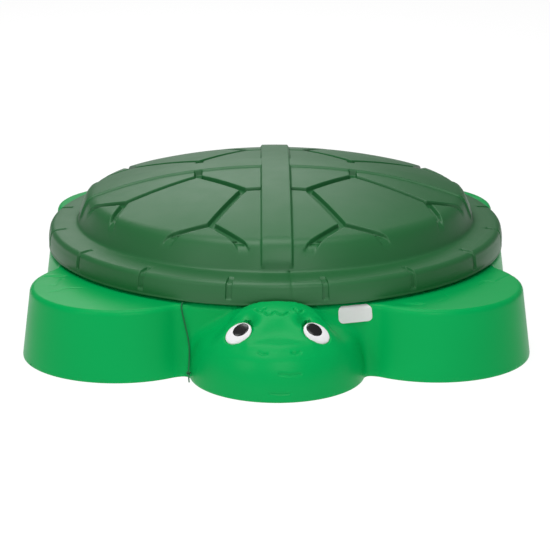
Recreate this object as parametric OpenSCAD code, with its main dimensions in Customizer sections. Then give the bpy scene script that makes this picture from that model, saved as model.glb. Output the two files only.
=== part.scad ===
// Turtle-shaped play sandbox: a hollow moulded tub with four feet and a head, and a domed cover that lifts off.
// The origin is on the floor below the middle of the whole object; the head points to -Y and +Z is up.

/* [Tub] */
// Radius of the round body at floor level
body_r = 478; // [460:1:490]
// How far every side wall leans in between the floor and the foot tops
draft = 18; // [10:1:24]
// Height of the flat foot tops above the floor
foot_h = 135; // [120:1:138]
// Radius of each foot at floor level
foot_r = 191; // [175:1:200]
// Distance from the cover's axis to the centre of each foot
foot_reach = 423; // [410:1:430]
// Radius of the inside corner between a foot and the body, at floor level
corner_r = 14; // [8:1:40]
// Height of the lip that the cover rests on
lip_h = 180; // [170:1:181]
// Outer radius of the lip where it leaves the foot tops
lip_r = 450; // [440:1:451]
// Thickness of the moulded wall of the tub
tub_wall = 2.5; // [2:0.1:5]

/* [Sand basin] */
// Radius of the basin floor
basin_floor_r = 404; // [380:1:410]
// Radius of the basin just below the lip
basin_top_r = 425; // [415:1:428]
// Height of the basin floor above the ground
basin_floor_h = 4; // [3:0.5:12]

/* [Head and tail] */
// Half width of the head at floor level
head_r = 165; // [150:1:170]
// Height of the crown of the head
head_h = 158; // [145:1:165]
// Distance from the cover's axis to the middle of the head
head_reach = 432; // [420:1:440]
// Clear gap between the head and the cover's rim
head_gap = 5; // [3:0.5:10]
// Radius of the tail at floor level
tail_r = 58; // [40:1:70]
// Height of the tail
tail_h = 100; // [60:1:120]
// Distance from the cover's axis to the middle of the tail
tail_reach = 443; // [430:1:450]

/* [Eyes] */
// Distance of each eye from the middle of the head
eye_x = 71; // [60:1:80]
// Place of the eyes along the object, from the cover's axis
eye_reach = 521; // [510:1:530]
// Height of the middle of each eye
eye_z = 106.5; // [95:0.5:115]
// Half of the long axis of the eye white
eye_a = 26; // [20:1:32]
// Half of the short axis of the eye white
eye_b = 19; // [15:1:24]
// Lean of the long axis, in degrees from level
eye_tilt = 40; // [0:5:60]
// How far the eyes look up, in degrees
eye_up = 38; // [20:1:60]
// How far the eyes look outwards, in degrees
eye_out = 20; // [0:1:40]

/* [Cover] */
// Outer radius of the cover's rim
rim_r = 461.5; // [450:0.5:465]
// Height of the rim's lower edge above the floor
rim_z = 140; // [138:0.5:145]
// Height of the dome's crown without its bands
crown_z = 300; // [280:1:320]
// Drop of the dome between its crown and its shoulder
dome_drop = 61; // [40:1:75]
// Width of the two raised bands that cross on the dome
band_w = 58; // [40:1:70]
// Height of the raised bands
band_h = 5; // [3:0.5:8]
// Thickness of the moulded wall of the cover
lid_wall = 2.6; // [2.4:0.1:4]

/* [Label] */
// Width of the blank label
label_w = 64; // [40:1:68]
// Height of the blank label
label_h = 31; // [20:1:32]
// Place of the label, in degrees round the tub from the middle of the head
label_angle = 18.2; // [17.5:0.1:19]

/* [Cord] */
// Diameter of the cord that hangs from the cover
cord_d = 2.6; // [2:0.1:3]
// Diameter of the knot at its end
knot_d = 9; // [7:0.5:12]

/* [Hidden] */
$fn = 96;

// The cover's axis stands this far behind the origin.
axis_y = 48;
// Steps round the tub's outline, one every 2.5 degrees.
steps = 144;
// Radius of the soft edge round the foot tops.
edge_r = 8;
// Radius at the shoulder where the dome turns down into its side.
dome_r = 385;
shoulder_r = 372;
crease_r = 403;
brim_z = 185;
rim_edge_r = 12;
eye_t = 3;
pupil_t = 1.6;
label_t = 1.2;
pupil_a = 16;
pupil_b = 11.5;
lug_w = 16;
// The cord leaves the lug inside the rim, passes under the rim and hangs down the wall to its knot.
cord_route = [
    [-173, -372.5, 150], [-173, -372.5, 146], [-173.4, -373.4, 141.8], [-174.6, -376.2, 138.6],
    [-176.2, -380, 137.4], [-177.6, -383.6, 135.4], [-178, -385.6, 131.4], [-176.9, -386.8, 122],
    [-173.7, -390.4, 108], [-170.1, -394, 93], [-166.7, -396.9, 78], [-164.6, -399, 63],
    [-163.8, -402.6, 49], [-163.9, -409.4, 36], [-164.4, -417.6, 25], [-164.8, -423, 18.5]
];
knot_at = [-165, -425, 14];
tail_end = [-163.5, -440, 2];
tail_sag = 3;

// Angle away from the nearest foot's axis.
function foot_angle(a) = abs(((a % 90) + 90) % 90 - 45);

// Outline of a round body of radius r with one round lobe of radius q whose centre is d away,
// joined by an inside corner of radius f: its radius at the angle t from the lobe's axis.
function lobed_r(t, r, d, q, f) =
    let (
        e = r + f,
        phi = acos((e * e + d * d - pow(q + f, 2)) / (2 * d * e)),
        touch_x = d + (e * cos(phi) - d) * q / (q + f),
        touch_y = e * sin(phi) * q / (q + f)
    )
    t <= atan2(touch_y, touch_x) ? d * cos(t) + sqrt(max(0, q * q - pow(d * sin(t), 2)))
    : t <= phi ? e * cos(t - phi) - sqrt(max(0, f * f - pow(e * sin(t - phi), 2)))
    : r;

// One level of the tub's outline, moved in by k.
function tub_ring(k, z) = [
    for (i = [0 : steps - 1])
        let (
            a = i * 360 / steps,
            r = lobed_r(foot_angle(a), body_r - k, foot_reach, foot_r - k, corner_r + k)
        )
        [r * cos(a), r * sin(a), z]
];

// Levels of the outer skin: [how far in, height].
outer_levels = [
    [0, 0],
    [draft * (foot_h - edge_r) / foot_h, foot_h - edge_r],
    [draft * (foot_h - edge_r) / foot_h + edge_r * 0.3, foot_h - edge_r * 0.3],
    [draft * (foot_h - edge_r) / foot_h + edge_r, foot_h]
];
inner_levels = [
    [tub_wall, tub_wall],
    [draft * (foot_h - edge_r) / foot_h + tub_wall, foot_h - edge_r],
    [draft * (foot_h - edge_r) / foot_h + edge_r, foot_h - tub_wall]
];

// Middle of a ring of points.
function middle(ring) = [for (c = [0 : 2]) (max([for (p = ring) p[c]]) + min([for (p = ring) p[c]])) / 2];

// Closed solid through a stack of rings, lowest first, with a fan over each end.
module ring_stack(rings) {
    n = len(rings[0]);
    top = len(rings) - 1;
    points = concat([for (ring = rings) each ring], [middle(rings[0]), middle(rings[top])]);
    polyhedron(
        points = points,
        faces = concat(
            [for (i = [0 : n - 1]) [len(points) - 2, i, (i + 1) % n]],
            [
                for (k = [0 : top - 1])
                    for (i = [0 : n - 1])
                        [k * n + i, (k + 1) * n + i, (k + 1) * n + (i + 1) % n, k * n + (i + 1) % n]
            ],
            [for (i = [0 : n - 1]) [len(points) - 1, top * n + (i + 1) % n, top * n + i]]
        ),
        convexity = 6
    );
}

module body_solid(levels) {
    ring_stack([for (level = levels) tub_ring(level[0], level[1])]);
}

module lip_solid(inset) {
    rotate_extrude()
        polygon([
            [0, foot_h - 20], [lip_r - inset, foot_h - 20], [lip_r - inset, foot_h],
            [lip_r - 2 - inset, lip_h - 5], [lip_r - 4 - inset, lip_h - 1.5 - inset * 0.7],
            [lip_r - 7, lip_h - inset], [0, lip_h - inset]
        ]);
}

// The basin's inside, grown by the wall to give the shell that holds the sand.
module basin_solid(grow) {
    floor_z = basin_floor_h - grow;
    rotate_extrude()
        polygon([
            [0, floor_z], [basin_floor_r - 16 + grow * 0.5, floor_z],
            [basin_floor_r - 5 + grow * 0.8, floor_z + 4], [basin_floor_r + grow, floor_z + 16],
            [basin_top_r + grow, lip_h - 8 + grow * 0.2], [basin_top_r + 2 + grow, lip_h + 1],
            [0, lip_h + 1]
        ]);
}

// Outlines of the head and the tail from the floor to the top, as shares of half width and height.
head_shares = [
    [1, 0], [0.994, 0.16], [0.976, 0.285], [0.945, 0.39], [0.89, 0.5], [0.77, 0.59], [0.625, 0.685],
    [0.535, 0.785], [0.46, 0.86], [0.35, 0.937], [0.2, 0.985], [0, 1]
];
tail_shares = [for (s = [0 : 10 : 90]) [pow(cos(s), 0.62), pow(sin(s), 1.15)]];

// Rounded dome of half width r and height h.
module nub(shares, r, h, inset) {
    rotate_extrude()
        polygon(concat(
            [[0, inset]],
            [for (p = shares) [(r - inset) * p[0], max((h - inset) * p[1], inset)]]
        ));
}

module head_solid(inset) {
    difference() {
        translate([0, -head_reach, 0])
            nub(head_shares, head_r, head_h, inset);
        translate([0, 0, foot_h - inset])
            cylinder(h = head_h, r = rim_r + head_gap + inset);
    }
}

module tail_solid(inset) {
    translate([0, tail_reach, 0])
        nub(tail_shares, tail_r, tail_h, inset);
}

// Puts a child on the face of an eye: its +Z looks out of the head.
module on_eye(side) {
    translate([side * eye_x, -eye_reach, eye_z])
        rotate([90 - eye_up, 0, side * eye_out])
            rotate([0, 0, -side * eye_tilt])
                children();
}

module oval(a, b, h) {
    linear_extrude(h)
        polygon([for (s = [0 : 10 : 350]) [a * cos(s), b * sin(s)]]);
}

// Raised seat behind an eye, and the pocket that keeps the room in front of it free.
module eye_seat(side) {
    on_eye(side)
        translate([0, 0, -14])
            oval(eye_a + 3, eye_b + 3, 14);
}

module eye_pocket(side, grow) {
    on_eye(side)
        translate([0, 0, -grow])
            oval(eye_a + 1 + grow, eye_b + 1 + grow, 40);
}

module tub() {
    color("limegreen")
        translate([0, axis_y, 0])
            difference() {
                union() {
                    body_solid(outer_levels);
                    lip_solid(0);
                    head_solid(0);
                    tail_solid(0);
                    for (side = [-1, 1])
                        eye_seat(side);
                }
                basin_solid(0);
                for (side = [-1, 1])
                    eye_pocket(side, 0);
                difference() {
                    union() {
                        body_solid(inner_levels);
                        lip_solid(tub_wall);
                        head_solid(tub_wall);
                        tail_solid(tub_wall);
                    }
                    basin_solid(tub_wall);
                    for (side = [-1, 1])
                        eye_pocket(side, tub_wall);
                }
            }
}

// Height of the dome at the radius r.
function dome_z(r) = crown_z - dome_drop * pow(r / dome_r, 2);

// The cover's outline from the rim's lower edge to the crown, moved in by t.
function lid_path(t) = concat(
    [[rim_r - t, rim_z], [rim_r + 1 - t, rim_z + 20]],
    [
        for (s = [0 : 18 : 90])
            [
                rim_r - 1.5 - rim_edge_r + (rim_edge_r - t) * cos(s),
                brim_z - 1 - rim_edge_r + (rim_edge_r - t) * sin(s)
            ]
    ],
    [
        [430, brim_z - t], [crease_r - 0.6 * t, brim_z + 4 - 0.8 * t],
        [crease_r - 6 - 0.9 * t, brim_z + 18 - 0.4 * t], [dome_r + 1 - 0.9 * t, brim_z + 44 - 0.4 * t],
        [dome_r - 4 - 0.7 * t, brim_z + 53 - 0.7 * t]
    ],
    [for (k = [0 : 12]) let (r = (shoulder_r - t * 0.4) * (1 - k / 12)) [r, dome_z(r) - t]]
);

function reversed(list) = [for (i = [len(list) - 1 : -1 : 0]) list[i]];

module lid_shell() {
    rotate_extrude()
        polygon(concat(lid_path(0), reversed(lid_path(lid_wall))));
}

// Raised skin over the dome and its side, from which the two bands are cut.
module raised_dome() {
    outer = [
        [crease_r + 5, brim_z + 1], [crease_r - 1, brim_z + 19], [dome_r + 6, brim_z + 46],
        [dome_r, brim_z + 57]
    ];
    inner = [
        [dome_r - 6, brim_z + 52], [dome_r, brim_z + 43], [crease_r - 7, brim_z + 17],
        [crease_r - 1, brim_z + 2]
    ];
    rotate_extrude()
        polygon(concat(
            outer,
            [for (k = [0 : 12]) let (r = shoulder_r * (1 - k / 12)) [r, dome_z(r) + band_h]],
            [for (k = [0 : 12]) let (r = shoulder_r * k / 12) [r, dome_z(r) - lid_wall / 2]],
            inner
        ));
}

module bands() {
    intersection() {
        raised_dome();
        union() {
            translate([-band_w / 2, -rim_r, rim_z])
                cube([band_w, 2 * rim_r, crown_z]);
            translate([-rim_r, -band_w / 2, rim_z])
                cube([2 * rim_r, band_w, crown_z]);
        }
    }
}

// Small block moulded inside the rim, which holds the top end of the cord.
module cord_lug() {
    rotate([0, 0, -22.4])
        translate([-lug_w / 2, -rim_r + lid_wall - 1, cord_route[0][2]])
            cube([lug_w, 7, brim_z - lid_wall / 2 - cord_route[0][2]]);
}

module lid() {
    color("darkgreen")
        translate([0, axis_y, 0]) {
            lid_shell();
            bands();
            cord_lug();
        }
}

module eye_white(side) {
    color("white")
        translate([0, axis_y, 0])
            on_eye(side)
                oval(eye_a, eye_b, eye_t);
}

module pupil(side) {
    color("black")
        translate([0, axis_y, 0])
            on_eye(side)
                translate([-side * 7, 3, eye_t])
                    oval(pupil_a, pupil_b, pupil_t);
}

// Outline of a plate with round corners.
function round_plate(w, h, r) = [
    for (c = [[1, 1, 0], [-1, 1, 90], [-1, -1, 180], [1, -1, 270]])
        for (s = [0 : 15 : 90])
            [
                c[0] * (w / 2 - r) + r * cos(c[2] + s),
                c[1] * (h / 2 - r) + r * sin(c[2] + s)
            ]
];

// Skin of the tub's side wall between two distances out from it.
module wall_skin(from, to) {
    difference() {
        body_solid([for (level = outer_levels) [level[0] - to, level[1]]]);
        body_solid([for (level = outer_levels) [level[0] - from, level[1]]]);
    }
}

module label() {
    color("gainsboro")
        translate([0, axis_y, 0])
            intersection() {
                wall_skin(0.3, label_t);
                rotate([0, 0, label_angle])
                    translate([0, -body_r + 50, foot_h - 1 - label_h / 2])
                        rotate([90, 0, 0])
                            linear_extrude(100)
                                polygon(round_plate(label_w, label_h, 9));
            }
}

function unit(v) = v / norm(v);
function between(a, b, f) = a + (b - a) * f;

// Direction of the route at its point i.
function heading(route, i) =
    unit(route[min(i + 1, len(route) - 1)] - route[max(i - 1, 0)]);

// Eight points round the route at its point i.
function tube_ring(route, i, r) =
    let (
        ahead = heading(route, i),
        across = unit(cross(ahead, [1, 0.2, 0])),
        up = cross(ahead, across)
    )
    [for (s = [0 : 45 : 315]) route[i] + r * (cos(s) * across + sin(s) * up)];

module tube(route, d) {
    ring_stack([for (i = [0 : len(route) - 1]) tube_ring(route, i, d / 2)]);
}

module cord() {
    color("darkgreen")
        tube(cord_route, cord_d);
}

module cord_knot() {
    color("darkgreen") {
        translate(knot_at)
            sphere(d = knot_d);
        tube([knot_at, between(knot_at, tail_end, 0.5) - [0, 0, tail_sag], tail_end], cord_d);
    }
}

tub();
lid();
eye_white(-1);  // eye_white_left
eye_white(1);  // eye_white_right
pupil(-1);  // pupil_left
pupil(1);  // pupil_right
label();
cord();
cord_knot();
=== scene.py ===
import math

import bmesh
import bpy
import numpy as np
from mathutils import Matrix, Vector
from mathutils.geometry import delaunay_2d_cdt
from mathutils.kdtree import KDTree


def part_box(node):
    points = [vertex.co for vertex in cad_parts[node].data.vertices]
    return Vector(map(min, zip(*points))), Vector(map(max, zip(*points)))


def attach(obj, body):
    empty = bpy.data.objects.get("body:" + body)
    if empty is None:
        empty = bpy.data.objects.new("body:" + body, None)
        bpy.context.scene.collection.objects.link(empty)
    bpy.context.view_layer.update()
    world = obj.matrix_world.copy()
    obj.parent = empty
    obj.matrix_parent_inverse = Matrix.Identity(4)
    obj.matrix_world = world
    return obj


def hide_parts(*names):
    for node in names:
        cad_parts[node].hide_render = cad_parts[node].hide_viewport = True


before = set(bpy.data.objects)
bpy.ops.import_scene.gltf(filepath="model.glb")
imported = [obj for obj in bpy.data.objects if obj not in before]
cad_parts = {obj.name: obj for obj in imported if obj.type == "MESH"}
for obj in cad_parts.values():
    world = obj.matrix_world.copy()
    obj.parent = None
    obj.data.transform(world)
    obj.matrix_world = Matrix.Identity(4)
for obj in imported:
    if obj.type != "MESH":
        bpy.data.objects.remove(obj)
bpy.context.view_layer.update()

# ---------------------------------------------------------------- sizes, in millimetres and degrees
MM = 0.001
lid_low, lid_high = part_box("lid")
AXIS_Y = (lid_low.y + lid_high.y) / 2 / MM          # the cover's axis, along the object
RIM_R = (lid_high.x - lid_low.x) / 2 / MM - 1.0     # outer radius at the rim's lower edge
RIM_Z = lid_low.z / MM                              # height of the rim's lower edge
BAND_H = 5.0                                        # height of the raised band along the dome
CROSS_H = 3.8                                       # height of the one across it
BAND_HALF = 29.0                                    # half the width of both bands
CROWN_Z = lid_high.z / MM - BAND_H                  # height of the dome without the bands
DOME_DROP, DOME_R = 61.0, 385.0                     # how far the dome falls, out to this radius
SHOULDER_R = 372.0                                  # where the dome turns down into its side
CREASE_R, CREASE_Z = 403.0, 189.4                   # where the dome's side meets the brim
BRIM_Z = 185.0                                      # height of the brim where it turns down into the rim
LID_WALL = 2.6

BODY_R, DRAFT = 478.0, 18.0                         # the body at the ground, and how far its wall leans in
FOOT_H = 135.0                                      # height of the feet and of the body between them
FOOT_FILLET, EDGE_R = 22.0, 8.0                     # rounding beside the feet, and of their top edge
FOOT_R, FOOT_REACH = 191.0, 423.0                   # a foot's radius, and its middle from the axis
LIP_R, LIP_H, LIP_LEAN = 450.0, 180.0, 2.5          # the ring round the basin that the cover goes over
BASIN_FLOOR_R, BASIN_TOP_R, BASIN_FLOOR_H = 404.0, 425.0, 4.0
HEAD_R, HEAD_H, HEAD_REACH = 165.0, 158.0, 432.0
HEAD_GAP = 5.0                                      # clearance between the head and the cover's rim
TAIL_R, TAIL_H, TAIL_REACH = 58.0, 100.0, 443.0
EYE_X, EYE_REACH, EYE_Z = 71.0, 521.0, 106.5        # middle of an eye
EYE_A, EYE_B = 26.0, 19.0                           # an eye's long and short half widths
EYE_TILT, EYE_UP, EYE_OUT = 40.0, 38.0, 20.0        # how far it is rolled, faces up and turns outwards
PUPIL_A, PUPIL_B = 16.0, 11.5                       # a pupil's half widths
PUPIL_IN, PUPIL_RISE = 7.0, 3.0                     # its place, along and across the eye


# ---------------------------------------------------------------- camera
def make_camera():
    """The photograph's viewpoint: a long lens, a little above the object, straight in front of the head."""
    azimuth, elevation, distance = math.radians(-0.4), math.radians(16.7), 4.408
    target = Vector((-0.001, 0.038, 0.0654))
    back = Vector((
        math.sin(azimuth) * math.cos(elevation),
        -math.cos(azimuth) * math.cos(elevation),
        math.sin(elevation),
    ))
    data = bpy.data.cameras.new("camera")
    data.lens, data.sensor_width = 140.1, 36.0
    data.clip_start, data.clip_end = 0.1, 50.0
    camera = bpy.data.objects.new("camera", data)
    camera.location = target + distance * back
    camera.rotation_mode = "QUATERNION"
    camera.rotation_quaternion = (-back).to_track_quat("-Z", "Y")
    bpy.context.collection.objects.link(camera)
    bpy.context.scene.camera = camera


# ---------------------------------------------------------------- pull cord and its lug
# The cord's route, as part.scad has it: out of the lug, under the rim, down the wall to its knot.
CORD_ROUTE = [
    (-173, -372.5, 150), (-173, -372.5, 146), (-173.4, -373.4, 141.8), (-174.6, -376.2, 138.6),
    (-176.2, -380, 137.4), (-177.6, -383.6, 135.4), (-178, -385.6, 131.4), (-176.9, -386.8, 122),
    (-173.7, -390.4, 108), (-170.1, -394, 93), (-166.7, -396.9, 78), (-164.6, -399, 63),
    (-163.8, -402.6, 49), (-163.9, -409.4, 36), (-164.4, -417.6, 25), (-164.8, -423, 18.5),
]
KNOT_AT = Vector((-165.0, -425.0, 14.0))
TAIL_END = Vector((-163.5, -440.0, 2.0))
TAIL_SAG = 3.0
CORD_D, CORD_LENGTH = 2.6, 0.1486
KNOT_TURN = 1.1                                     # size of the knot's turns
KNOT_STEPS = 24
LUG_ANGLE = math.radians(-22.4)                     # where the lug sits, round from the head
LUG_INSET = 3.0                                     # how far its middle lies inside the rim's wall
# The lug's height, half width and half depth, from under the brim down to the cord.
LUG_LEVELS = [(172, 7.4, 2.6), (166, 7.9, 3.0), (158, 7.4, 3.0), (152.5, 6.2, 2.8), (150.3, 4.6, 2.2)]


def braided_cord():
    """Dark green cord, with slanting strands whose lighter green is a painted highlight where they catch the
    light, a bump along the strands, and a soft, dull surface.
    """
    material, nodes, links = new_material("braided_cord")
    shader = nodes["Principled BSDF"]
    shader.inputs["Roughness"].default_value = 0.75
    place = nodes.new("ShaderNodeTexCoord")
    turn = nodes.new("ShaderNodeMapping")
    turn.inputs["Rotation"].default_value = (0.6, 0.0, 0.5)
    links.new(place.outputs["Object"], turn.inputs["Vector"])
    strands = nodes.new("ShaderNodeTexWave")
    strands.bands_direction = "Z"
    strands.inputs["Scale"].default_value = 180.0
    strands.inputs["Distortion"].default_value = 1.0
    links.new(turn.outputs["Vector"], strands.inputs["Vector"])
    # painted highlight: the strand pattern blends from dark green to a lighter green, as if light catches each
    # strand
    ramp = nodes.new("ShaderNodeValToRGB")
    ramp.color_ramp.elements[0].color = (0.004, 0.085, 0.03, 1.0)
    ramp.color_ramp.elements[1].color = (0.01, 0.17, 0.06, 1.0)
    links.new(strands.outputs["Fac"], ramp.inputs["Fac"])
    links.new(ramp.outputs["Color"], shader.inputs["Base Color"])
    bump = nodes.new("ShaderNodeBump")
    bump.inputs["Strength"].default_value = 0.5
    bump.inputs["Distance"].default_value = 0.0003
    links.new(strands.outputs["Fac"], bump.inputs["Height"])
    links.new(bump.outputs["Normal"], shader.inputs["Normal"])
    return material


def curve_object(name, material):
    """A round curve as thick as the cord, riding on the cover."""
    data = bpy.data.curves.new(name, "CURVE")
    data.dimensions, data.bevel_depth, data.bevel_resolution = "3D", 1.0, 4
    data.resolution_u, data.use_fill_caps = 8, True
    piece = bpy.data.objects.new(name, data)
    bpy.context.collection.objects.link(piece)
    data.materials.append(material)
    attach(piece, "cover")
    return piece


def bezier_through(data, points, cyclic=False):
    spline = data.splines.new("BEZIER")
    spline.bezier_points.add(len(points) - 1)
    for knot, point in zip(spline.bezier_points, points):
        knot.co = Vector(point) * MM
        knot.handle_left_type = knot.handle_right_type = "AUTO"
        knot.radius = CORD_D / 2 * MM
    spline.use_cyclic_u = cyclic


def make_cord(material):
    """The pull cord: a limp cord from the lug down the wall, and the overhand knot and tail at its end."""
    cord = curve_object("pull_cord", material)
    bezier_through(cord.data, CORD_ROUTE)
    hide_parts("cord")
    knot = curve_object("pull_cord_knot", material)
    turns = []
    for k in range(KNOT_STEPS):
        t = math.tau * k / KNOT_STEPS
        turns.append(KNOT_AT + KNOT_TURN * Vector((
            math.sin(t) + 2 * math.sin(2 * t),
            1.3 * math.sin(3 * t),
            math.cos(t) - 2 * math.cos(2 * t),
        )))
    bezier_through(knot.data, turns, cyclic=True)
    bezier_through(knot.data, [KNOT_AT, (KNOT_AT + TAIL_END) / 2 - Vector((0, 0, TAIL_SAG)), TAIL_END])
    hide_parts("cord_knot")


def make_lug(material):
    """The small block inside the rim that the cord comes out of, rounded off at its lower end."""
    middle_r = RIM_R - LID_WALL - LUG_INSET
    steps = 32
    points = []
    for z, half_w, half_d in LUG_LEVELS:
        for k in range(steps):
            t = math.tau * k / steps
            u = half_w * math.copysign(abs(math.cos(t)) ** 0.5, math.cos(t))
            r = middle_r + half_d * math.copysign(abs(math.sin(t)) ** 0.5, math.sin(t))
            points.append((
                u * math.cos(LUG_ANGLE) + r * math.sin(LUG_ANGLE),
                u * math.sin(LUG_ANGLE) - r * math.cos(LUG_ANGLE) + AXIS_Y,
                z,
            ))
    faces = loft_faces(len(LUG_LEVELS), steps)
    faces.append(tuple(range(steps)))
    faces.append(tuple(range(len(points) - 1, len(points) - 1 - steps, -1)))
    mesh_object("cord_lug", points, faces, material, "cover")


def loft_faces(layers, steps):
    """Four-sided faces between closed rings of equal length."""
    return [
        (k * steps + i, k * steps + (i + 1) % steps, (k + 1) * steps + (i + 1) % steps, (k + 1) * steps + i)
        for k in range(layers - 1)
        for i in range(steps)
    ]


# ---------------------------------------------------------------- light and floor
def area_light(name, place, target, size, power):
    data = bpy.data.lights.new(name, "AREA")
    data.shape, data.size, data.energy = "DISK", size, power
    light = bpy.data.objects.new(name, data)
    light.location = place
    light.rotation_mode = "QUATERNION"
    light.rotation_quaternion = (Vector(target) - Vector(place)).to_track_quat("-Z", "Y")
    bpy.context.collection.objects.link(light)


def make_light():
    world = bpy.data.worlds.new("studio")
    world.use_nodes = True
    world.node_tree.nodes["Background"].inputs["Color"].default_value = (1.0, 1.0, 1.0, 1.0)
    world.node_tree.nodes["Background"].inputs["Strength"].default_value = 0.2
    bpy.context.scene.world = world
    bpy.context.scene.view_settings.view_transform = "Standard"
    area_light("overhead", (-0.3, -0.6, 2.7), (0.0, 0.0, 0.1), 2.0, 44.0)
    area_light("backdrop", (-0.4, 3.0, 2.3), (0.0, 0.0, 0.1), 2.6, 31.0)
    area_light("left", (-2.2, -2.6, 1.6), (0.0, -0.3, 0.1), 1.2, 14.0)
    area_light("front", (0.2, -2.0, 1.05), (0.0, -0.4, 0.1), 0.8, 8.5)


def make_floor():
    bpy.ops.mesh.primitive_plane_add(size=30.0)
    floor = bpy.context.object
    floor.name = "floor"
    floor.data.materials.append(floor_material())


# ---------------------------------------------------------------- materials
def new_material(name):
    material = bpy.data.materials.new(name)
    material.use_nodes = True
    return material, material.node_tree.nodes, material.node_tree.links


def floor_material():
    material, nodes = new_material("pale_floor")[:2]
    shader = nodes["Principled BSDF"]
    shader.inputs["Base Color"].default_value = (0.15, 0.15, 0.15, 1.0)
    shader.inputs["Roughness"].default_value = 0.9
    shader.inputs["Specular IOR Level"].default_value = 0.0
    shader.inputs["Emission Color"].default_value = (1.0, 1.0, 1.0, 1.0)
    shader.inputs["Emission Strength"].default_value = 0.92
    return material


def moulded_plastic(name, colour, deep, roughness, shine):
    """Satin polyethylene: a slow drift in colour, a fine pebbled skin and uneven gloss."""
    material, nodes, links = new_material(name)
    shader = nodes["Principled BSDF"]
    place = nodes.new("ShaderNodeTexCoord")
    drift = nodes.new("ShaderNodeTexNoise")
    drift.inputs["Scale"].default_value = 2.3
    drift.inputs["Detail"].default_value = 3.0
    links.new(place.outputs["Object"], drift.inputs["Vector"])
    ramp = nodes.new("ShaderNodeValToRGB")
    ramp.color_ramp.elements[0].position = 0.3
    ramp.color_ramp.elements[1].position = 0.7
    ramp.color_ramp.elements[0].color = (*deep, 1.0)
    ramp.color_ramp.elements[1].color = (*colour, 1.0)
    links.new(drift.outputs["Fac"], ramp.inputs["Fac"])
    links.new(ramp.outputs["Color"], shader.inputs["Base Color"])
    smear = nodes.new("ShaderNodeTexNoise")
    smear.inputs["Scale"].default_value = 22.0
    smear.inputs["Detail"].default_value = 4.0
    links.new(place.outputs["Object"], smear.inputs["Vector"])
    gloss = nodes.new("ShaderNodeMapRange")
    gloss.inputs["To Min"].default_value = roughness - 0.05
    gloss.inputs["To Max"].default_value = roughness + 0.07
    links.new(smear.outputs["Fac"], gloss.inputs["Value"])
    links.new(gloss.outputs["Result"], shader.inputs["Roughness"])
    pebble = nodes.new("ShaderNodeTexNoise")
    pebble.inputs["Scale"].default_value = 420.0
    pebble.inputs["Detail"].default_value = 2.0
    links.new(place.outputs["Object"], pebble.inputs["Vector"])
    bump = nodes.new("ShaderNodeBump")
    bump.inputs["Strength"].default_value = 0.12
    bump.inputs["Distance"].default_value = 0.0006
    links.new(pebble.outputs["Fac"], bump.inputs["Height"])
    links.new(bump.outputs["Normal"], shader.inputs["Normal"])
    shader.inputs["IOR"].default_value = 1.5
    shader.inputs["Specular IOR Level"].default_value = shine
    return material


def plain_gloss(name, colour, roughness):
    """Smooth glossy plastic with a faint unevenness in its shine."""
    material, nodes, links = new_material(name)
    shader = nodes["Principled BSDF"]
    shader.inputs["Base Color"].default_value = (*colour, 1.0)
    place = nodes.new("ShaderNodeTexCoord")
    smear = nodes.new("ShaderNodeTexNoise")
    smear.inputs["Scale"].default_value = 60.0
    links.new(place.outputs["Object"], smear.inputs["Vector"])
    gloss = nodes.new("ShaderNodeMapRange")
    gloss.inputs["To Min"].default_value = roughness - 0.04
    gloss.inputs["To Max"].default_value = roughness + 0.06
    links.new(smear.outputs["Fac"], gloss.inputs["Value"])
    links.new(gloss.outputs["Result"], shader.inputs["Roughness"])
    bump = nodes.new("ShaderNodeBump")
    bump.inputs["Strength"].default_value = 0.05
    bump.inputs["Distance"].default_value = 0.0005
    links.new(smear.outputs["Fac"], bump.inputs["Height"])
    links.new(bump.outputs["Normal"], shader.inputs["Normal"])
    return material


# ---------------------------------------------------------------- mesh helpers
def mesh_object(name, points, faces, material, body):
    """A smooth-shaded mesh from points in millimetres, riding on a CAD body."""
    mesh = bpy.data.meshes.new(name)
    mesh.from_pydata([tuple(p) for p in np.asarray(points) * MM], [], [tuple(f) for f in faces])
    mesh.validate()
    piece = bpy.data.objects.new(name, mesh)
    bpy.context.collection.objects.link(piece)
    mesh.materials.append(material)
    mesh.polygons.foreach_set("use_smooth", [True] * len(mesh.polygons))
    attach(piece, body)
    return piece


def apply_modifiers(piece):
    depsgraph = bpy.context.evaluated_depsgraph_get()
    mesh = bpy.data.meshes.new_from_object(piece.evaluated_get(depsgraph))
    piece.modifiers.clear()
    piece.data = mesh


def smooth_step(x):
    x = np.clip(x, 0.0, 1.0)
    return x * x * (3 - 2 * x)


def distance_to_segment(x, y, a, b):
    a, b = np.asarray(a, float), np.asarray(b, float)
    ab = b - a
    t = np.clip(((x - a[0]) * ab[0] + (y - a[1]) * ab[1]) / ab.dot(ab), 0, 1)
    return np.hypot(x - a[0] - t * ab[0], y - a[1] - t * ab[1])


# ---------------------------------------------------------------- cover
# Turning points of the grooves in one quarter, from the cover's axis. The other quarters mirror them.
KNEE, SPINE_END, TOP, BAND_END = (63, -166), (30, -164), (156, -64), (156, -26)
SIDE, SIDE_END, FRONT, FRONT_SIDE_END, FRONT_END, CORNER_END = (
    (298, -145), (374, -112), (126, -307), (214, -330), (58, -388), (322, -222)
)
GROOVES = [
    (SPINE_END, KNEE), (KNEE, TOP), (TOP, SIDE), (SIDE, SIDE_END), (KNEE, FRONT),
    (FRONT, FRONT_SIDE_END), (FRONT, FRONT_END), (SIDE, CORNER_END), (TOP, BAND_END),
]
GROOVE_HALF, GROOVE_WALL, GROOVE_DEPTH = 8.5, 2.6, 9.0
RUN_OUT_R, RUN_OUT = 392.0, 16.0                    # the grooves fade out over this much of the radius
FADE_R, FADE = 401.5, 6.0                           # and the bands over this much
BAND_EDGE = 2.2                                     # half the width of a band's soft edge
FLARE_START, FLARE_RUN, FLARE = 190.0, 180.0, 26.0  # how the band across the dome widens
RIM_SLOT_GAP = math.radians(22.5)                   # angle from one rim slot to the next
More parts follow.
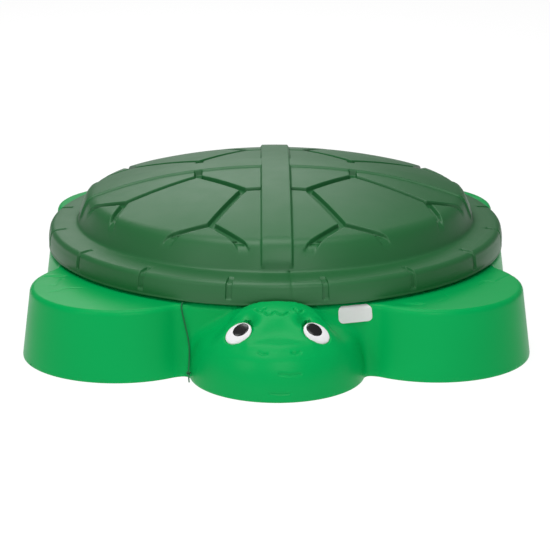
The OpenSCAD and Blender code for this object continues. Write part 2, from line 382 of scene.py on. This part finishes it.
RIM_SLOTS = [math.radians(-90 + 11.25 + 22.5 * k) for k in range(16)]
RIM_SLOT_HALF, RIM_SLOT_WALL, RIM_SLOT_DEPTH = 6.4, 1.2, 4.2
SLOT_START_R, SLOT_START = 429.0, 5.0               # where a slot begins on the brim
SLOT_STOP_Z, SLOT_STOP = 149.0, 4.0                 # where it ends, near the rim's lower edge
PARTING_ANGLE = math.radians(-90 + 3.3)
PARTING_HALF, PARTING_DEPTH = 1.4, 0.7
# Spacing, reach and clearance of the points that fill the dome.
DOME_GRID, DOME_GRID_R, DOME_GRID_GAP = 8.0, 396.0, 4.0
BAND_REACH, CROSS_REACH = 400.0, 392.0              # how far out the lines along the bands go
BAND_STEP, GROOVE_STEP = 6.0, 5.0                   # spacing of the points on them and on the grooves
# Lines of points that follow the dome's side, by radius, and a band's edge and a groove, by distance.
SIDE_LINES = (400.5, 397, 393, 389, 386, 383, 380, 376, 371, 364)
BAND_LINES = (-3.6, -2.2, -1.1, 0, 1.1, 2.2, 3.6)
GROOVE_LINES = (-10, -8.6, -7.9, -7.2, -6.5, -5.7, -3, 0, 3, 5.7, 6.5, 7.2, 7.9, 8.6, 10)
# Radius and height down the dome's side.
DOME_SIDE = [
    (376, 240.6), (380, 237.6), (384, 232.6), (387, 226.5), (390, 219.5), (394, 209.5), (398, 199.5),
    (401, 192.6), (CREASE_R, CREASE_Z),
]


def dome_z(r):
    return CROWN_Z - DOME_DROP * (r / DOME_R) ** 2


def lid_profile_z(r):
    """Height of the plain dome and its side over the radius r, up to the crease."""
    side = [(SHOULDER_R, dome_z(SHOULDER_R))] + DOME_SIDE
    rs, zs = zip(*side)
    return np.where(r < SHOULDER_R, dome_z(r), np.interp(r, rs, zs))


def cross_half(x):
    """Half width of the band across the dome, which flares towards its ends."""
    return BAND_HALF + FLARE * np.clip((np.abs(x) - FLARE_START) / FLARE_RUN, 0, 1.2) ** 2


def band_height(x, y):
    """Height of the two raised bands, with soft edges."""
    spine = smooth_step((BAND_HALF + BAND_EDGE - np.abs(x)) / (2 * BAND_EDGE))
    cross = smooth_step((cross_half(x) + BAND_EDGE - np.abs(y)) / (2 * BAND_EDGE))
    return np.maximum(BAND_H * spine, CROSS_H * cross)


def groove_share(x, y):
    """How far each point is down in a groove: 0 on the dome and 1 on the groove's floor."""
    away = np.full(np.shape(x), 1e9)
    for a, b in GROOVES:
        away = np.minimum(away, distance_to_segment(np.abs(x), -np.abs(y), a, b))
    return smooth_step((GROOVE_HALF - away) / GROOVE_WALL)


def walk(a, b, step):
    """Points from a to b, about a step apart."""
    n = max(1, int(math.dist(a, b) / step))
    return [(a[0] + (b[0] - a[0]) * i / n, a[1] + (b[1] - a[1]) * i / n) for i in range(n + 1)]


def circle(r, angles):
    return [(r * math.cos(t), r * math.sin(t)) for t in angles]


def closed_lines():
    """The crease, and circles in plan that follow the dome's side."""
    turn = np.linspace(0, 2 * math.pi, 361)[:-1]
    return [circle(CREASE_R, rim_angles())] + [circle(r, turn) for r in SIDE_LINES]


def open_lines():
    """Lines in plan that follow the edges of the bands and the grooves."""
    lines = []
    for offset in BAND_LINES:
        reach = math.sqrt(BAND_REACH ** 2 - (BAND_HALF + offset) ** 2)
        for side in (-1, 1):
            x = side * (BAND_HALF + offset)
            lines.append(walk((x, -reach), (x, reach), BAND_STEP))
            across = np.linspace(-CROSS_REACH, CROSS_REACH, 131)
            lines.append([(u, side * (float(cross_half(u)) + offset)) for u in across])
    for a, b in GROOVES:
        a, b = np.array(a, float), np.array(b, float)
        along = (b - a) / np.linalg.norm(b - a)
        normal = np.array((-along[1], along[0]))
        for offset in GROOVE_LINES:
            path = walk(a + normal * offset, b + normal * offset, GROOVE_STEP)
            for sx in (-1, 1):
                for sy in (-1, 1):
                    lines.append([(sx * u, sy * v) for u, v in path])
    return lines


def fill_points(points):
    """An even grid of points over the dome, kept clear of the ones that are there already."""
    tree = KDTree(len(points))
    for i, p in enumerate(points):
        tree.insert((p[0], p[1], 0), i)
    tree.balance()
    fill = []
    count = int(CREASE_R / DOME_GRID) + 1
    for i in range(-count, count + 1):
        for j in range(-count, count + 1):
            p = ((i + 0.5 * (j % 2)) * DOME_GRID, j * DOME_GRID * 0.866)
            if math.hypot(*p) < DOME_GRID_R and tree.find((p[0], p[1], 0))[2] > DOME_GRID_GAP:
                fill.append(p)
    return fill


def dome_plan():
    """Points and edges in plan that follow the dome's side, its bands and its grooves."""
    points, edges = [], []
    for path in closed_lines():
        start = len(points)
        points += path
        edges += [(start + i, start + i + 1) for i in range(len(path) - 1)]
        edges.append((len(points) - 1, start))
    for path in open_lines():
        start = len(points)
        points += path
        edges += [(start + i, start + i + 1) for i in range(len(path) - 1)]
    return points + fill_points(points), edges


def rim_angles():
    """Angles round the rim, gathered at its slots and at the mould's parting line."""
    half = (2.5, 4.7, 5.3, 5.9, 6.4, 7.5)
    across = [-k for k in reversed(half)] + [0, *half]
    between = 20
    angles = []
    for slot in RIM_SLOTS:
        angles += [slot + k / RIM_R for k in across]
        gap = RIM_SLOT_GAP - 2 * half[-1] / RIM_R
        angles += [slot + half[-1] / RIM_R + gap * k / between for k in range(1, between)]
    angles += [PARTING_ANGLE + k / RIM_R for k in (-1.6, -0.8, 0, 0.8, 1.6)]
    return sorted(a % (2 * math.pi) for a in angles)


def rim_path():
    """The rim's section from the crease to its lower edge: radius, height and outward normal."""
    edge = 12.0
    path = [(CREASE_R, CREASE_Z), (405.5, 188.0), (409, 187.2), (418, 186.5), (428, 185.7), (430, 185.6)]
    path += [(432, 185.4), (434, 185.3), (437, 185.1), (441, 184.9)]
    turn = RIM_R - 1.5 - edge
    for s in range(90, -1, -10):
        t = math.radians(s)
        path.append((turn + edge * math.cos(t), BRIM_Z - 1 - edge + edge * math.sin(t)))
    # The rim's outside below its turn: distance out from its radius, and height.
    skirt = [
        (-0.4, 168), (0.5, 162), (0.9, 156), (0.9, 153), (0.9, 151), (0.8, 149), (0.5, 146), (0.3, 143.6),
        (0.9, 142.6), (0.9, 141), (0.2, RIM_Z),
    ]
    path += [(RIM_R + out, z) for out, z in skirt]
    path = np.array(path)
    ahead = np.gradient(path, axis=0)
    normal = np.stack([-ahead[:, 1], ahead[:, 0]], 1)
    normal /= np.linalg.norm(normal, axis=1)[:, None]
    return path, normal


def rim_relief(angle, r, z):
    """Depth of the short radial slots and of the parting line."""
    depth = np.zeros(np.shape(angle))
    start = smooth_step((r - SLOT_START_R) / SLOT_START)
    stop = smooth_step((z - SLOT_STOP_Z) / SLOT_STOP)
    for slot in RIM_SLOTS:
        away = along_rim(angle, slot)
        depth += RIM_SLOT_DEPTH * smooth_step((RIM_SLOT_HALF - away) / RIM_SLOT_WALL) * start * stop
    depth += PARTING_DEPTH * np.clip(1 - along_rim(angle, PARTING_ANGLE) / PARTING_HALF, 0, 1)
    return depth


def along_rim(angle, mark):
    """Distance round the rim from a mark, whichever way is shorter."""
    return np.abs((angle - mark + math.pi) % (2 * math.pi) - math.pi) * RIM_R


def carved_dome():
    """Points and faces of the dome, with its bands raised and its grooves carved."""
    plan, edges = dome_plan()
    flat = delaunay_2d_cdt([Vector(p) for p in plan], edges, [], 0, 1e-4)
    x, y = np.array([v[:] for v in flat[0]]).T
    r = np.hypot(x, y)
    band = band_height(x, y)
    run_out = smooth_step((RUN_OUT_R - r) / RUN_OUT)
    carved = GROOVE_DEPTH * groove_share(x, y) * (1 - np.clip(band / CROSS_H, 0, 1)) * run_out
    slope = lid_profile_z(r + 0.5) - lid_profile_z(r - 0.5)
    slope = np.where(r > FADE_R, 0, slope)
    away = np.maximum(r, 1e-6)
    outward = np.stack([-slope * x / away, -slope * y / away, np.ones_like(r)], 1)
    outward /= np.linalg.norm(outward, axis=1)[:, None]
    fade = smooth_step((FADE_R - r) / FADE)
    points = np.stack([x, y, lid_profile_z(r)], 1) + outward * (band * fade - carved)[:, None]
    return points, [list(f) for f in flat[2]]


def rolled_rim(first):
    """Points and faces of the brim and the rim, whose points are numbered from first."""
    path, normal = rim_path()
    angles = np.array(rim_angles())
    count = len(angles)
    a, section = np.meshgrid(angles, np.arange(len(path)))
    depth = rim_relief(a, path[section, 0], path[section, 1])
    r = path[section, 0] - depth * normal[section, 0]
    z = path[section, 1] - depth * normal[section, 1]
    points = np.stack([r * np.cos(a), r * np.sin(a), z], 2).reshape(-1, 3)
    faces = []
    for k in range(len(path) - 1):
        low, high = first + k * count, first + (k + 1) * count
        for i in range(count):
            j = (i + 1) % count
            faces.append([low + i, high + i, high + j, low + j])
    return points, faces


def make_lid(material):
    """The cover's moulding: dome, brim and rim as one skin, thickened inwards."""
    dome, dome_faces = carved_dome()
    rim, rim_faces = rolled_rim(len(dome))
    points = np.concatenate([dome, rim]) + (0, AXIS_Y, 0)
    lid = mesh_object("lid_moulding", points, dome_faces + rim_faces, material, "cover")
    weld(lid, 0.00005)
    thicken = lid.modifiers.new("wall", "SOLIDIFY")
    thicken.thickness = LID_WALL * MM
    thicken.offset = -1.0
    apply_modifiers(lid)
    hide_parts("lid")


def weld(piece, gap):
    """Joins points closer than a gap in metres, and turns all faces outwards."""
    work = bmesh.new()
    work.from_mesh(piece.data)
    bmesh.ops.remove_doubles(work, verts=work.verts, dist=gap)
    bmesh.ops.recalc_face_normals(work, faces=work.faces)
    work.to_mesh(piece.data)
    work.free()


# ---------------------------------------------------------------- tub, as a distance field
# The distances take points in millimetres measured from the cover's axis, and are negative inside.
SKIN_FILLET = 14.0                                  # inside corner where head and tail join the body
RIM_FILLET = 3.0                                    # and where the head passes the cover's rim
BASE_EDGE, LIP_EDGE, LIP_FILLET = 2.5, 4.0, 5.0
BASIN_CORNER, BASIN_EDGE = 16.0, 3.0
EYE_MOUND = (35.0, 27.0, 17.0)                      # half sizes of the swelling round each eye
MOUND_SINK, MOUND_FILLET = 12.0, 16.0
POCKET_GAP, POCKET_EDGE = 0.8, 1.5                  # room round each eye in its pocket


def round_union(a, b, fillet):
    """Union of two distances, with an inside corner of the given radius."""
    return np.maximum(fillet, np.minimum(a, b)) - np.hypot(
        np.maximum(fillet - a, 0), np.maximum(fillet - b, 0)
    )


def round_overlap(a, b, edge):
    """Overlap of two distances, with an outside edge of the given radius."""
    return -round_union(-a, -b, edge)


def turned_outline(shares, width, height, rounds=3):
    """Outline of a turned dome, its corners cut again and again until it is smooth."""
    line = np.array(shares) * (width, height)
    for _ in range(rounds):
        quarter = line[:-1] * 0.75 + line[1:] * 0.25
        three_quarter = line[:-1] * 0.25 + line[1:] * 0.75
        middle = np.stack([quarter, three_quarter], 1).reshape(-1, 2)
        line = np.concatenate([line[:1], middle, line[-1:]])
    return line


def distance_to_turned(across, z, line):
    """Distance from the solid that a falling outline makes when it turns about its axis."""
    best = np.full(np.shape(across), 1e9)
    side = np.ones(np.shape(across))
    for a, b in zip(line[:-1], line[1:]):
        ab = b - a
        t = np.clip(((across - a[0]) * ab[0] + (z - a[1]) * ab[1]) / ab.dot(ab), 0, 1)
        dx, dz = across - a[0] - t * ab[0], z - a[1] - t * ab[1]
        gap = np.hypot(dx, dz)
        nearer = gap < best - 1e-6
        best = np.where(nearer, gap, best)
        side = np.where(nearer, np.sign(dx * ab[1] - dz * ab[0]), side)
    return best * side


HEAD_SHARES = [
    (1, 0), (0.994, 0.16), (0.976, 0.285), (0.945, 0.39), (0.89, 0.5), (0.77, 0.59), (0.625, 0.685),
    (0.535, 0.785), (0.46, 0.86), (0.35, 0.937), (0.2, 0.985), (0, 1),
]
HEAD_LINE = turned_outline(HEAD_SHARES, HEAD_R, HEAD_H)
TAIL_SHARES = [
    (math.cos(math.radians(s)) ** 0.62, math.sin(math.radians(s)) ** 1.15) for s in range(0, 91, 10)
]
TAIL_LINE = turned_outline(TAIL_SHARES, TAIL_R, TAIL_H, 2)


def eye_frame(side):
    """Middle of an eye's seat, and its long, short and outward directions."""
    up, out, tilt = math.radians(90 - EYE_UP), math.radians(side * EYE_OUT), math.radians(-side * EYE_TILT)
    tip = np.array([[1, 0, 0], [0, math.cos(up), -math.sin(up)], [0, math.sin(up), math.cos(up)]])
    turn = np.array([[math.cos(out), -math.sin(out), 0], [math.sin(out), math.cos(out), 0], [0, 0, 1]])
    roll = np.array([[math.cos(tilt), -math.sin(tilt), 0], [math.sin(tilt), math.cos(tilt), 0], [0, 0, 1]])
    axes = turn @ tip @ roll
    return np.array([side * EYE_X, -EYE_REACH, EYE_Z]), axes


def pit(points, middle, radius, depth):
    """A soft round hollow: how far it pushes the surface in."""
    gap = np.linalg.norm(points - np.array(middle), axis=1) / radius
    return depth * np.exp(-gap ** 2 * 2)


def crease(points, path, half, depth):
    """A soft groove along a path on the surface, or a ridge if the depth is negative."""
    best = np.full(len(points), 1e9)
    for a, b in zip(path[:-1], path[1:]):
        a, b = np.array(a, float), np.array(b, float)
        ab = b - a
        t = np.clip((points - a) @ ab / ab.dot(ab), 0, 1)
        best = np.minimum(best, np.linalg.norm(points - a - t[:, None] * ab, axis=1))
    return depth * np.exp(-(best / half) ** 2 * 1.5)


def head_distance(p):
    """The head, with a swelling and a pocket for each eye, cut back from the cover's rim."""
    x, y, z = p.T
    d = distance_to_turned(np.hypot(x, y + HEAD_REACH), z, HEAD_LINE)
    for side in (-1, 1):
        middle, axes = eye_frame(side)
        u, v, w = ((p - middle) @ axes).T
        long, short, deep = EYE_MOUND
        swell = np.sqrt((u / long) ** 2 + (v / short) ** 2 + ((w + MOUND_SINK) / deep) ** 2)
        d = round_union(d, (swell - 1) * deep, MOUND_FILLET)
        oval = np.hypot(u / (EYE_A + POCKET_GAP), v / (EYE_B + POCKET_GAP))
        pocket = np.maximum((oval - 1) * EYE_B, -w)
        d = round_overlap(d, -pocket, POCKET_EDGE)
    keep_out = np.maximum(np.hypot(x, y) - RIM_R - HEAD_GAP, FOOT_H - z)
    return round_overlap(d, -keep_out, RIM_FILLET)


def slab_distance(x, y, z):
    """The round body and its feet, leaning in towards their flat top."""
    inset = DRAFT * z / FOOT_H
    d = np.hypot(x, y) - BODY_R + inset
    foot = FOOT_REACH * math.sqrt(0.5)
    lobe = np.hypot(np.abs(x) - foot, np.abs(y) - foot) - FOOT_R + inset
    side = round_union(d, lobe, FOOT_FILLET) * math.cos(DRAFT / FOOT_H)
    return round_overlap(side, z - FOOT_H, EDGE_R)


def tub_distance(p):
    """The whole tub: body, feet, head, tail and lip, less the sand basin."""
    x, y, z = p.T
    r = np.hypot(x, y)
    d = slab_distance(x, y, z)
    # Only here do the head and the tail reach the skin.
    near_head = (y < -330) & (np.abs(x) < 260)
    near_tail = (y > 360) & (np.abs(x) < 160)
    if near_head.any():
        fillet = np.interp(z[near_head], (110, 133), (SKIN_FILLET, RIM_FILLET))
        d[near_head] = round_union(d[near_head], head_distance(p[near_head]), fillet)
    if near_tail.any():
        across = np.hypot(x[near_tail], y[near_tail] - TAIL_REACH)
        tail = distance_to_turned(across, z[near_tail], TAIL_LINE)
        d[near_tail] = round_union(d[near_tail], tail, SKIN_FILLET)
    d = round_overlap(d, -z, BASE_EDGE)
    lip_wall = r - np.interp(z, (FOOT_H, LIP_H), (LIP_R, LIP_R - LIP_LEAN))
    d = round_union(d, round_overlap(lip_wall, z - LIP_H, LIP_EDGE), LIP_FILLET)
    wall = r - np.interp(z, (BASIN_FLOOR_H, LIP_H), (BASIN_FLOOR_R - 2, BASIN_TOP_R + 1))
    basin = round_overlap(wall, BASIN_FLOOR_H - z, BASIN_CORNER)
    return round_overlap(d, -basin, BASIN_EDGE)


def tub_normal(p):
    """Outward direction of the distance at each point, and how fast it grows there."""
    step = 0.25
    slope = np.empty_like(p)
    for axis in range(3):
        ahead = p.copy()
        ahead[:, axis] += step
        behind = p.copy()
        behind[:, axis] -= step
        slope[:, axis] = tub_distance(ahead) - tub_distance(behind)
    slope /= 2 * step
    size = np.linalg.norm(slope, axis=1)
    return slope / np.maximum(size, 1e-6)[:, None], np.maximum(size, 0.3)


# ---------------------------------------------------------------- tub
# Marks on the skin, in millimetres from the cover's axis. Creases are given by their middle line.
NOSTRILS = [
    [(-33, -566, 84.5), (-27, -569.5, 83), (-20, -570, 84.5)],
    [(27, -567, 85.5), (33, -567, 84), (40, -564, 85)],
]
LIPS = [
    [(4, -590.5, 53.4), (23, -589.5, 51), (41, -585.7, 51.6)],
    [(-13, -595.9, 18.4), (4, -596.5, 16.8), (21, -595, 17.4)],
]
# The scale edges on top of the head: place across, place along, half width and how far each arc hangs.
SCALES = [(-31, -487, 8.5, 9), (-15, -498, 8.5, 8), (9, -498, 11, 8), (39, -486, 8.5, 9)]
# The ridge over the eye on the +X side, mirrored for the other eye.
BROW = [(90, -495, 110), (82, -478, 122), (66, -474, 134), (48, -482, 140), (36, -493, 139)]
# The broad ridge across the snout.
SNOUT_RIDGE = [(-52, -549, 93), (4, -559, 93), (62, -547, 92)]
DIMPLES = [
    [(-448, -248), (-416, -244)],
    [(239, -430), (266, -433)],
    [(-266, 433), (-239, 430)],
    [(430, 351), (452, 346)],
]
TOES = [
    [(-434, -304), (-426, -310), (-414, -264)],
    [(-430, -349), (-417, -343), (-404, -324), (-373, -324)],
    [(308, -414), (322, -392), (318, -372)],
    [(387, -307), (398, -287), (423, -287), (456, -241)],
]
# Half width and depth of each kind of mark.
NOSTRIL_CUT, LIP_CUT, SCALE_CUT, BROW_RIDGE = (3.2, 2.2), (3.0, 1.8), (2.4, 2.6), (9, 2.6)
SNOUT_SWELL, DIMPLE_CUT, TOE_CUT = (15, 3.0), (8.0, 2.6), (3.0, 1.0)
SCALE_Z = 141                                       # about where the scales lie before they settle on the skin
# Middle, radius and depth of the soft hollows.
EYE_HOLLOW, EYE_HOLLOW_R, EYE_HOLLOW_DEPTH = (51, -506, 128), 22, 11.0
SNOUT_HOLLOW, SNOUT_HOLLOW_R, SNOUT_HOLLOW_DEPTH = (2, -526, 116), 34, 3.0


def sink(p):
    """How far each point of the plain skin sinks into its marks: the head's, then the foot tops'."""
    depth = np.zeros(len(p))
    head = (p[:, 1] < -440) & (np.abs(p[:, 0]) < 150)
    q = p[head]
    marks = np.zeros(len(q))
    for path in NOSTRILS:
        marks += crease(q, path, *NOSTRIL_CUT)
    for path in LIPS:
        marks += crease(q, path, *LIP_CUT)
    for x, y, half, drop in SCALES:
        arc = np.array([(x + half * s, y - drop * (1 - s * s), SCALE_Z) for s in np.linspace(-1, 1, 9)])
        marks = np.maximum(marks, crease(q, settle_on_skin(arc, 4), *SCALE_CUT))
    for side in (-1, 1):
        x, y, z = EYE_HOLLOW
        marks += pit(q, (side * x, y, z), EYE_HOLLOW_R, EYE_HOLLOW_DEPTH)
        marks -= crease(q, [(side * x, y, z) for x, y, z in BROW], *BROW_RIDGE)
    marks += pit(q, SNOUT_HOLLOW, SNOUT_HOLLOW_R, SNOUT_HOLLOW_DEPTH)
    marks -= crease(q, SNOUT_RIDGE, *SNOUT_SWELL)
    depth[head] = marks
    top = np.abs(p[:, 2] - FOOT_H) < 1.5
    q = p[top].copy()
    q[:, 2] = 0
    marks = np.zeros(len(q))
    for path in DIMPLES:
        marks += crease(q, [(x, y, 0) for x, y in path], *DIMPLE_CUT)
    for path in TOES:
        for flip in (1, -1):
            marks += crease(q, [(flip * x, flip * y, 0) for x, y in path], *TOE_CUT)
    depth[top] += marks
    return depth


def settle_on_skin(p, rounds):
    """Points moved along their normals onto the tub's skin."""
    for _ in range(rounds):
        normal, steep = tub_normal(p)
        p = p - normal * (tub_distance(p) / steep)[:, None].clip(-4, 4)
    return p


def relaxed(p, edges, share):
    """Each point moved part of the way to the middle of its neighbours."""
    total, count = np.zeros_like(p), np.zeros(len(p))
    for a, b in ((edges[:, 0], edges[:, 1]), (edges[:, 1], edges[:, 0])):
        np.add.at(total, a, p[b])
        np.add.at(count, a, 1)
    return p + share * (total / np.maximum(count, 1)[:, None] - p)


def mesh_arrays(mesh):
    """A mesh's points, in millimetres from the cover's axis, and its edges."""
    p = np.empty(len(mesh.vertices) * 3)
    mesh.vertices.foreach_get("co", p)
    e = np.empty(len(mesh.edges) * 2, dtype=np.int64)
    mesh.edges.foreach_get("vertices", e)
    return p.reshape(-1, 3) / MM - (0, AXIS_Y, 0), e.reshape(-1, 2)


VOXEL = 5.0                                         # spacing of the grid that the tub's skin is made on
# Between which heights a point counts as the basin's floor, and the height it is lifted to.
FLOOR_LOW, FLOOR_HIGH, FLOOR_LIFTED = 2.0, 12.0, 16.0
FACE_REACH, FACE_HALF, FACE_LOW = 470.0, 140.0, 8.0     # where the face's marks need a finer mesh
FOOT_TOP_R = 462.0                                  # the foot tops lie further out than this
LOW_POINT = 3.0                                     # points below this belong to the base
EDGE_LEVEL = 5.0                                    # height at which the wall gives the base its outline
EDGE_INSIDE, EDGE_OUTSIDE = 3.5, 6.0                # base points this near the outline are moved onto it


def outer_shell(node):
    """A copy of a hollow node's mesh with only its outside left.

    The basin's floor is lifted here, because a voxel grid can't tell it from the base 4 mm below.
    It goes back to its height when the points settle on the skin.
    """
    work = bmesh.new()
    work.from_mesh(node.data)
    bmesh.ops.remove_doubles(work, verts=work.verts, dist=1e-6)
    start = min(work.verts, key=lambda v: v.co.y)
    reached, front = {start}, [start]
    while front:
        vert = front.pop()
        for edge in vert.link_edges:
            other = edge.other_vert(vert)
            if other not in reached:
                reached.add(other)
                front.append(other)
    bmesh.ops.delete(work, geom=[v for v in work.verts if v not in reached])
    for vert in work.verts:
        r = math.hypot(vert.co.x, vert.co.y - AXIS_Y * MM) / MM
        if FLOOR_LOW < vert.co.z / MM < FLOOR_HIGH and r < BASIN_FLOOR_R:
            vert.co.z = FLOOR_LIFTED * MM
    mesh = bpy.data.meshes.new("tub_shell")
    work.to_mesh(mesh)
    work.free()
    return mesh


def refine(mesh, wanted, cuts):
    """Cuts the faces wholly inside a wanted region into smaller ones."""
    work = bmesh.new()
    work.from_mesh(mesh)
    chosen = [e for e in work.edges if all(wanted(v.co) for v in e.verts)]
    bmesh.ops.subdivide_edges(work, edges=chosen, cuts=cuts, use_grid_fill=True)
    work.to_mesh(mesh)
    work.free()


def in_face(co):
    return co.y / MM - AXIS_Y < -FACE_REACH and abs(co.x) / MM < FACE_HALF and co.z / MM > FACE_LOW


def on_foot_top(co):
    x, y = co.x / MM, co.y / MM - AXIS_Y
    return abs(co.z / MM - FOOT_H) < 1.0 and math.hypot(x, y) > FOOT_TOP_R


def underside(mesh):
    """Which of a mesh's points lie on its flat base."""
    normals = np.empty(len(mesh.vertices) * 3)
    mesh.vertices.foreach_get("normal", normals)
    points = mesh_arrays(mesh)[0]
    return (normals.reshape(-1, 3)[:, 2] < -0.7) & (points[:, 2] < 2)


def settled(points, rounds, base):
    """Points moved onto the tub's skin, apart from the base, which stays flat on the ground."""
    moved = settle_on_skin(points, rounds)
    moved[base] = points[base] * (1, 1, 0)
    return moved


def trimmed_edge(points):
    """All points, with those of the base laid flat and its outermost ones moved level onto the wall."""
    low = points[:, 2] < LOW_POINT
    probe = points[low] * (1, 1, 0) + (0, 0, EDGE_LEVEL)
    for _ in range(3):
        normal, steep = tub_normal(probe)
        gap = tub_distance(probe) / steep
        gap[(gap < -EDGE_INSIDE) | (gap > EDGE_OUTSIDE)] = 0
        probe -= normal * gap[:, None] * (1, 1, 0)
    points[low] = probe * (1, 1, 0)
    return points


def make_tub(material):
    """The tub's skin: an even grid of points settled on the distance field, then the marks."""
    tub = bpy.data.objects.new("tub_moulding", outer_shell(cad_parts["tub"]))
    bpy.context.collection.objects.link(tub)
    grid = tub.modifiers.new("grid", "REMESH")
    grid.mode = "VOXEL"
    grid.voxel_size = VOXEL * MM
    apply_modifiers(tub)
    points, edges = mesh_arrays(tub.data)
    base = underside(tub.data)
    for _ in range(3):
        points = relaxed(settled(points, 2, base), edges, 0.5)
    points = settled(points, 3, base)
    points[:, 2] = np.maximum(points[:, 2], 0)
    put_points(tub.data, points)
    refine(tub.data, in_face, 3)
    refine(tub.data, on_foot_top, 1)
    base = underside(tub.data)
    points = settled(mesh_arrays(tub.data)[0], 3, base)
    points -= tub_normal(points)[0] * np.where(base, 0, sink(points))[:, None]
    put_points(tub.data, trimmed_edge(points))
    tub.data.materials.clear()
    tub.data.materials.append(material)
    tub.data.polygons.foreach_set("use_smooth", [True] * len(tub.data.polygons))
    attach(tub, "tub")
    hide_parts("tub")


def put_points(mesh, points):
    """Moves a mesh's points to places in millimetres from the cover's axis."""
    mesh.vertices.foreach_set("co", ((points + (0, AXIS_Y, 0)) * MM).ravel())
    mesh.update()


# ---------------------------------------------------------------- eyes and label
EYE_LOW, EYE_RISE = 1.0, 3.0                        # foot and height of the dome of an eye, over its seat
PUPIL_LOW, PUPIL_DOME = 3.3, 1.9                    # the same for a pupil
OVAL_SKIRT = 0.9                                    # how far their sides go on below the dome
OVAL_POWER = 2.6                                    # a power above 2 flattens the top of the dome
OVAL_STEPS = 48


def oval_ring(middle, a, b, z):
    turns = [2 * math.pi * s / OVAL_STEPS for s in range(OVAL_STEPS)]
    return [(middle[0] + a * math.cos(t), middle[1] + b * math.sin(t), z) for t in turns]


def domed_oval(name, side, a, b, offset, low, height, rings, material, body, node):
    """A cushion-shaped oval on an eye's seat, with a soft edge."""
    middle, axes = eye_frame(side)
    points, faces = [(offset[0], offset[1], low + height)], []
    for k in range(1, rings + 1):
        share = math.sin(math.pi / 2 * k / rings)
        rise = low + height * math.sqrt(max(0, 1 - share ** OVAL_POWER))
        points += oval_ring(offset, a * share, b * share, rise)
    points += oval_ring(offset, a, b, low - OVAL_SKIRT)
    points.append((offset[0], offset[1], low - OVAL_SKIRT))
    for s in range(OVAL_STEPS):
        n = (s + 1) % OVAL_STEPS
        faces.append((0, 1 + s, 1 + n))
        for k in range(rings):
            inner, outer = 1 + k * OVAL_STEPS, 1 + (k + 1) * OVAL_STEPS
            faces.append((inner + s, outer + s, outer + n, inner + n))
        last = 1 + rings * OVAL_STEPS
        faces.append((len(points) - 1, last + n, last + s))
    points = np.array(points) @ axes.T + middle + (0, AXIS_Y, 0)
    piece = mesh_object(name, points, faces, material, body)
    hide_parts(node)


def make_eyes(white, black):
    for side, word in ((-1, "left"), (1, "right")):
        domed_oval(
            f"eye_{word}", side, EYE_A, EYE_B, (0, 0), EYE_LOW, EYE_RISE, 8, white, "tub",
            f"eye_white_{word}",
        )
        domed_oval(
            f"pupil_dome_{word}", side, PUPIL_A, PUPIL_B, (-side * PUPIL_IN, PUPIL_RISE), PUPIL_LOW,
            PUPIL_DOME, 7, black, "tub", f"pupil_{word}",
        )


LABEL_W, LABEL_H, LABEL_CORNER = 64.0, 31.0, 9.0
LABEL_ANGLE = math.radians(18.2)                    # where the label's middle is, round from the head
LABEL_DROP = 1.0                                    # from the wall's top edge down to the label
WALL_R = 462.0                                      # the wall's radius about there
LABEL_OUT = 1.22                                    # how far its face stands off the wall
# Each layer's share of the outline, and how far it is off the wall.
LABEL_LAYERS = [
    (1.0, 0.35), (1.0, 0.8), (0.985, 1.05), (0.96, 1.2),
    (0.8, LABEL_OUT), (0.5, LABEL_OUT), (0.2, LABEL_OUT),
]


def label_outline():
    """An oblong with round corners, about its own middle."""
    outline = []
    for sx, sz, start in ((1, 1, 0), (-1, 1, 90), (-1, -1, 180), (1, -1, 270)):
        across, up = sx * (LABEL_W / 2 - LABEL_CORNER), sz * (LABEL_H / 2 - LABEL_CORNER)
        for s in range(0, 91, 10):
            t = math.radians(start + s)
            outline.append((across + LABEL_CORNER * math.cos(t), up + LABEL_CORNER * math.sin(t)))
    return outline


def make_label(material):
    """A blank oblong plate with soft edges that follows the side wall."""
    middle_z = FOOT_H - LABEL_DROP - LABEL_H / 2
    outline = label_outline()
    points = []
    for share, out in LABEL_LAYERS:
        for u, v in outline:
            points.append(skin_point(LABEL_ANGLE + u * share / WALL_R, middle_z + v * share, out))
    points.append(skin_point(LABEL_ANGLE, middle_z, LABEL_OUT))
    n = len(outline)
    faces = loft_faces(len(LABEL_LAYERS), n)
    top = (len(LABEL_LAYERS) - 1) * n
    for i in range(n):
        faces.append((top + i, top + (i + 1) % n, len(points) - 1))
    piece = mesh_object("blank_label", points, faces, material, "tub")
    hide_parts("label")


def skin_point(angle, z, out):
    """A point a given distance out from the side wall, at an angle round from the head."""
    r = 520.0                                       # starts outside the wall, and steps in to it
    for _ in range(12):
        spot = np.array([[r * math.sin(angle), -r * math.cos(angle), z]])
        r -= float(tub_distance(spot)[0])
    return (r + out) * math.sin(angle), -(r + out) * math.cos(angle) + AXIS_Y, z


# ---------------------------------------------------------------- build
make_camera()
make_cord(braided_cord())
make_light()
make_floor()
LID_PLASTIC = moulded_plastic("lid_plastic", (0.014, 0.135, 0.036), (0.012, 0.122, 0.031), 0.46, 0.5)
TUB_PLASTIC = moulded_plastic("tub_plastic", (0.0, 0.4, 0.092), (0.0, 0.375, 0.083), 0.34, 0.1)
make_lid(LID_PLASTIC)
make_lug(LID_PLASTIC)
make_tub(TUB_PLASTIC)
EYE_WHITE = plain_gloss("eye_white", (0.86, 0.85, 0.87), 0.25)
PUPIL_BLACK = plain_gloss("pupil_black", (0.012, 0.012, 0.013), 0.2)
LABEL_GREY = plain_gloss("label_grey", (0.72, 0.73, 0.72), 0.35)
make_eyes(EYE_WHITE, PUPIL_BLACK)
make_label(LABEL_GREY)
